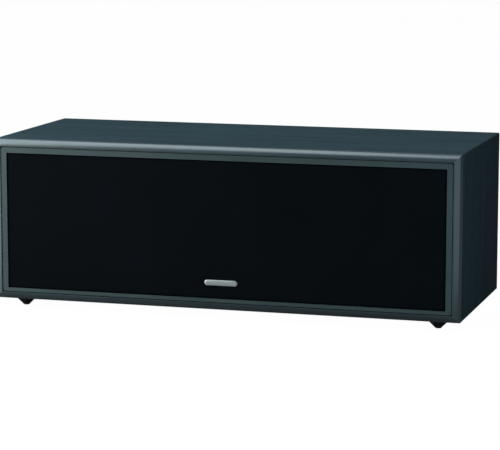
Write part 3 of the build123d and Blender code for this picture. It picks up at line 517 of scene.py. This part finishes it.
def makeBadge():
    # a ring of points round a slot outline, carried in along a profile:
    # flat back, upright side, rounded edge, low crown
    low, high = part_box("grille_badge")
    radius = (high[2] - low[2]) / 2
    thick = high[1] - low[1]
    half = (high[0] - low[0]) / 2 - radius
    middle = (low[2] + high[2]) / 2
    arc = np.linspace(-math.pi / 2, math.pi / 2, badgeShape["arcPoints"])
    angle = np.concatenate([arc, arc + math.pi])
    centre = np.concatenate([np.full(arc.size, half), np.full(arc.size, -half)])
    bend = np.linspace(0, math.pi / 2, badgeShape["edgePoints"])
    side = thick * badgeShape["sideShare"]
    edge = badgeShape["edge"]
    inside = np.linspace(radius - edge, 0, badgeShape["crownPoints"])[1:]
    crownFoot = side + edge
    crown = crownFoot + (thick - crownFoot) * (1 - (inside / (radius - edge)) ** 2)
    reach = np.concatenate([[0, radius], radius - edge + edge * np.cos(bend), inside])
    lift = np.concatenate([[0, 0], side + edge * np.sin(bend), crown])
    x = centre + reach[:, None] * np.cos(angle)
    z = middle + reach[:, None] * np.sin(angle)
    y = np.broadcast_to(high[1] - lift[:, None], x.shape)
    mesh = gridMesh("grilleBadge", np.stack([x, y, z], axis=-1))
    closePoles(mesh)
    badge = addPiece("grilleBadge", mesh, "badge", "grille_badge")
    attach(badge, "grille")


makeBadge()
print("badge made")


# woofer surrounds and spiders, which flex between the cone and the basket in the real driver; here they keep
# one shape

surroundShape = {
    "lipInside": 0.0370, "rollInside": 0.0395, "rollOutside": 0.0455, "lipOutside": 0.0480,
    "seat": 0.0015, "rollHeight": 0.0030, "wall": 0.0005, "lipPoints": 6, "rollPoints": 41, "steps": 144,
}
spiderShape = {
    "inside": 0.0129, "waveInside": 0.0133, "waveOutside": 0.0290, "outside": 0.0325,
    "shelf": -0.0190, "wave": 0.0010, "waves": 4, "wall": 0.0004, "points": 97, "steps": 120,
}


def turnedRing(name, side, radius, level, wall, steps):
    # a line of radius and level is thickened along its normals and carried round the driver's axis
    middle = middleOf(side + "_woofer_cone")
    along = np.stack([np.gradient(radius), np.gradient(level)])
    across = np.stack([-along[1], along[0]]) / np.hypot(*along) * wall / 2
    ringRadius = np.concatenate([radius + across[0], (radius - across[0])[::-1]])[:, None]
    ringLevel = np.concatenate([level + across[1], (level - across[1])[::-1]])[:, None]
    angle = np.linspace(0, 2 * math.pi, steps, endpoint=False)
    x = middle[0] + ringRadius * np.cos(angle)
    z = middle[1] + ringRadius * np.sin(angle)
    y = np.broadcast_to(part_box("front_baffle")[0][1] - ringLevel, x.shape)
    return gridMesh(name, np.stack([x, y, z], axis=-1), closeRows=True)


def flexBetween(piece):
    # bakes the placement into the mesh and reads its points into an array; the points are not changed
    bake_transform(piece)
    places = np.empty(len(piece.data.vertices) * 3, np.float32)
    piece.data.vertices.foreach_get("co", places)


def makeSurround(side):
    # flat lip on the cone, half-round roll, flat lip on the basket
    shape = surroundShape
    turn = np.linspace(0, math.pi, shape["rollPoints"])
    halfWidth = (shape["rollOutside"] - shape["rollInside"] + shape["wall"]) / 2
    middle = (shape["rollOutside"] + shape["rollInside"]) / 2
    lip = shape["lipPoints"]
    innerLip = np.linspace(shape["lipInside"], middle - halfWidth, lip + 1)[:-1]
    outerLip = np.linspace(middle + halfWidth, shape["lipOutside"], lip + 1)[1:]
    radius = np.concatenate([innerLip, middle - halfWidth * np.cos(turn), outerLip])
    rise = np.concatenate([np.zeros(lip), shape["rollHeight"] * np.sin(turn), np.zeros(lip)])
    level = shape["seat"] + shape["wall"] / 2 + rise
    name = side + "Surround"
    mesh = turnedRing(name, side, radius, level, shape["wall"], shape["steps"])
    piece = addPiece(name, mesh, "rubber", side + "_woofer_surround")
    flexBetween(piece)


def makeSpider(side):
    # level of a disc: a row of half waves of a sine between the coil and the flat outer lip
    shape = spiderShape
    radius = np.linspace(shape["inside"], shape["outside"], shape["points"])
    step = (shape["waveOutside"] - shape["waveInside"]) / shape["waves"]
    inWaves = (radius > shape["waveInside"]) & (radius < shape["waveOutside"])
    wave = -shape["wave"] * np.sin(math.pi * (radius - shape["waveInside"]) / step) * inWaves
    level = shape["shelf"] + shape["wall"] / 2 + wave
    name = side + "Spider"
    mesh = turnedRing(name, side, radius, level, shape["wall"], shape["steps"])
    piece = addPiece(name, mesh, "spider", side + "_woofer_spider")
    flexBetween(piece)


for side in ("left", "right"):
    makeSurround(side)
    makeSpider(side)
print("surrounds and spiders made")


# pan-head screws with a cross recess

screwShape = {
    "sideShare": 0.35,  # upright part of the head, as a share of its height
    "armReach": 0.62, "armWidth": 0.17, "soft": 0.09,  # the cross, as shares of the head's radius
    "recess": 0.60, "rise": 0.45,  # its depth as a share of the head's height, and how far it rises outwards
    "point": 0.0025, "flatness": 4, "crownRows": 26, "steps": 72,
}
driverScrew = {"headRadius": 0.0032, "headHeight": 0.0020, "shank": 0.0018, "outward": -1}
cupScrew = {"headRadius": 0.0028, "headHeight": 0.0018, "shank": 0.0015, "outward": 1}
screwGroups = {
    "wooferScrews": {
        "node": "woofer_screws", "round": ("left_woofer_cone", "right_woofer_cone"), **driverScrew,
    },
    "tweeterScrews": {"node": "tweeter_screws", "round": ("tweeter_faceplate",), **driverScrew},
    "cupScrews": {"node": "terminal_cup_screws", "round": ("terminal_cup",), **cupScrew},
}


def screwPlaces(group):
    # two by two about the middle of each piece that they hold, as far out as the node's box says
    low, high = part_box(group["node"])
    middles = [middleOf(held)[0] for held in group["round"]]
    spread = high[0] - group["headRadius"] - max(middles)
    levels = (low[2] + group["headRadius"], high[2] - group["headRadius"])
    return [(middle + way * spread, level) for middle in middles for way in (-1, 1) for level in levels]


def armOf(along, across):
    # 1 on a bar through the middle, 0 off it, with a soft edge
    shape = screwShape
    inside = np.minimum(shape["armWidth"] - np.abs(across), shape["armReach"] - np.abs(along))
    return smoothStep(np.clip(inside / shape["soft"] + 0.5, 0, 1))


def makeScrews(name, group):
    # point, shank, seat, upright side and a flat crown, turned round the axis; the crown sinks along a cross
    shape = screwShape
    low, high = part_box(group["node"])
    radius, height, shank = group["headRadius"], group["headHeight"], group["shank"]
    length = high[1] - low[1] - height
    share = np.sin(np.linspace(math.pi / 2, 0, shape["crownRows"]))
    side = height * shape["sideShare"]
    crown = side + (height - side) * np.sqrt(1 - share ** shape["flatness"])
    reach = np.concatenate([[0, shank, shank, radius], share * radius])[:, None]
    lift = np.concatenate([[-length, shape["point"] - length, 0, 0], crown])[:, None]
    angle = np.linspace(0, 2 * math.pi, shape["steps"], endpoint=False)
    x = reach * np.cos(angle)
    z = reach * np.sin(angle)
    cross = np.maximum(armOf(x / radius, z / radius), armOf(z / radius, x / radius))
    depth = shape["recess"] * height * (1 - shape["rise"] * reach / radius / shape["armReach"])
    sunk = lift - np.where(lift >= side, cross * depth, 0)
    seat = low[1] + height if group["outward"] < 0 else high[1] - height
    one = np.stack([x, seat + group["outward"] * sunk, z], axis=-1)
    places = np.array([(across, 0, level) for across, level in screwPlaces(group)])
    points = one.reshape(-1, 3) + places[:, None]
    firstPoints = np.arange(len(places)) * x.size
    faces = (gridFaces(one) + firstPoints[:, None, None]).reshape(-1, 4)
    mesh = meshOf(name, points, faces)
    closePoles(mesh)
    piece = addPiece(name, mesh, "black_steel", group["node"])
    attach(piece, "cabinet")


for name, group in screwGroups.items():
    makeScrews(name, group)
print("screws made")


# damping pads on the inside of the end walls

padShape = {
    "thick": 0.014, "pull": 0.035, "corner": 6,  # pull is how far the sides draw in between the corners
    "edge": 0.93, "shoulder": 0.70, "lump": 0.0006, "lumpPitch": 0.017, "lumpShift": 0.6,
    "backRows": 9, "sideRows": 15, "crownRows": 21, "steps": 120, "fill": 0.5,
}


def makePad(name, sign):
    # a squarish ring carried along a profile: flat on the wall, round side, crown with small soft lumps
    shape = padShape
    low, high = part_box("damping_pads")
    angle = np.linspace(0, 2 * math.pi, shape["steps"], endpoint=False)
    power = shape["corner"]
    ring = (np.abs(np.cos(angle)) ** power + np.abs(np.sin(angle)) ** power) ** (-1 / power)
    ring = ring * (1 - shape["pull"] * np.cos(2 * angle) ** 2)
    edge, shoulder = shape["edge"], shape["shoulder"]
    back = np.linspace(0, edge, shape["backRows"] + 1)[:-1]
    turn = np.linspace(0, math.pi, shape["sideRows"])
    inward = np.linspace(edge, 0, shape["crownRows"] + 1)[1:]
    crown = shoulder + (1 - shoulder) * (1 - (inward / edge) ** 2)
    reach = np.concatenate([back, edge + (1 - edge) * np.sin(turn), inward])
    lift = np.concatenate([np.zeros(back.size), shoulder * (1 - np.cos(turn)) / 2, crown])
    y = (low[1] + high[1]) / 2 + reach[:, None] * ring * np.cos(angle) * (high[1] - low[1]) / 2
    z = (low[2] + high[2]) / 2 + reach[:, None] * ring * np.sin(angle) * (high[2] - low[2]) / 2
    wave = 2 * math.pi / shape["lumpPitch"]
    lumps = shape["lump"] * np.sin(y * wave) * np.sin(z * wave + shape["lumpShift"])
    lumps = lumps * (lift[:, None] > shoulder)
    wall = high[0] if sign > 0 else low[0]
    x = wall - sign * (shape["thick"] - shape["lump"]) * lift[:, None] - sign * lumps
    mesh = gridMesh(name, np.stack([x, y, z], axis=-1))
    closePoles(mesh)
    pad = addPiece(name, mesh, "wadding", "damping_pads")
    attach(pad, "cabinet")


makePad("leftPad", -1)
makePad("rightPad", 1)
print("damping pads made")


# floor, world and lamps

stageLook = {
    "floorColour": (0.12, 0.12, 0.12, 1), "floorDrop": 0.0002,
    "floorReach": (0.01, 8.0), "floorRings": 12, "floorSteps": 64,
    "floorWhite": 0.88,  # how much of the floor is plain white to the camera, the rest shows shadow
    "floorGlow": 1.12,  # makes up for the grey in the rest
    "ambient": (0.88, 0.98, 1.00, 1), "ambientLevel": 0.08, "mirrorShare": 0.05,
}
lamps = {
    "overheadSoftbox": {
        "place": (-0.80, -0.26, 1.45), "aim": (-0.05, -0.08, 0.15), "size": (1.8, 1.7), "power": 32,
        "colour": (0.84, 1.00, 1.05),
    },
    "leftSoftbox": {
        "place": (-0.74, -0.42, 0.30), "aim": (-0.15, -0.09, 0.08), "size": (0.70, 0.75), "power": 10.5,
        "colour": (0.86, 1.00, 1.02),
    },
    "rightCard": {
        "place": (0.345, -0.215, 0.10), "aim": (0.22, -0.09, 0.08), "size": (0.40, 0.20), "power": 0.21,
        "colour": (0.66, 1.00, 1.14),
    },
    "rightSoftbox": {
        "place": (0.50, 0.20, 1.10), "aim": (0.15, 0.00, 0.12), "size": (0.4, 0.4), "power": 5.0,
        "colour": (0.84, 1.00, 1.05),
    },
    "rearStrip": {
        "place": (0.00, 0.80, 0.08), "aim": (0.00, 0.09, 0.08), "size": (0.38, 0.12), "power": 2,
        "colour": (0.95, 1.00, 1.02),
    },
}


def whiteShare(tree):
    # 1 for camera and transmitted rays, a smaller share for glossy ones, 0 for rays that light the object
    path = tree.nodes.new("ShaderNodeLightPath")
    mirrored = addNode(tree, "Math", {0: path.outputs["Is Glossy Ray"], 1: stageLook["mirrorShare"]},
                       operation="MULTIPLY")
    seen = addNode(tree, "Math", {0: path.outputs["Is Camera Ray"], 1: path.outputs["Is Transmission Ray"]},
                   operation="MAXIMUM")
    return addNode(tree, "Math", {0: seen, 1: mirrored}, operation="MAXIMUM")


def setWorld():
    world = bpy.data.worlds.new("studio")
    scene.world = world
    world.use_nodes = True
    tree = world.node_tree
    tree.nodes.clear()
    lit = addNode(tree, "Background", {"Color": stageLook["ambient"], "Strength": stageLook["ambientLevel"]})
    white = addNode(tree, "Background", {"Color": (1, 1, 1, 1), "Strength": 1})
    mixed = addNode(tree, "MixShader", {0: whiteShare(tree), 1: lit, 2: white})
    out = tree.nodes.new("ShaderNodeOutputWorld")
    tree.links.new(mixed, out.inputs["Surface"])


def makeFloor():
    # rings of growing radius in one plane
    reach = np.linspace(*stageLook["floorReach"], stageLook["floorRings"])[:, None]
    angle = np.linspace(0, 2 * math.pi, stageLook["floorSteps"])
    x = reach * np.cos(angle)
    y = reach * np.sin(angle)
    z = np.full(x.shape, cadBox[0][2] - stageLook["floorDrop"])
    mesh = gridMesh("floor", np.stack([x, y, z], axis=-1), facing=(0, 0, 1))
    floor = bpy.data.objects.new("floor", mesh)
    scene.collection.objects.link(floor)
    finish = bpy.data.materials.new("floorFinish")
    finish.use_nodes = True
    tree = finish.node_tree
    tree.nodes.clear()
    pale = addNode(tree, "BsdfDiffuse", {"Color": stageLook["floorColour"]})
    white = addNode(tree, "Emission", {"Color": (1, 1, 1, 1), "Strength": stageLook["floorGlow"]})
    share = addNode(tree, "Math", {0: whiteShare(tree), 1: stageLook["floorWhite"]}, operation="MULTIPLY")
    mixed = addNode(tree, "MixShader", {0: share, 1: pale, 2: white})
    out = tree.nodes.new("ShaderNodeOutputMaterial")
    tree.links.new(mixed, out.inputs["Surface"])
    mesh.materials.append(finish)


def setLamps():
    for name, lamp in lamps.items():
        light = bpy.data.lights.new(name, "AREA")
        light.shape = "RECTANGLE"
        light.size, light.size_y = lamp["size"]
        light.energy = lamp["power"]
        light.color = lamp["colour"]
        box = bpy.data.objects.new(name, light)
        box.location = lamp["place"]
        box.visible_camera = False
        beam = Vector(lamp["aim"]) - Vector(lamp["place"])
        box.rotation_euler = beam.to_track_quat("-Z", "Y").to_euler()
        scene.collection.objects.link(box)


setWorld()
makeFloor()
setLamps()
print("stage set")
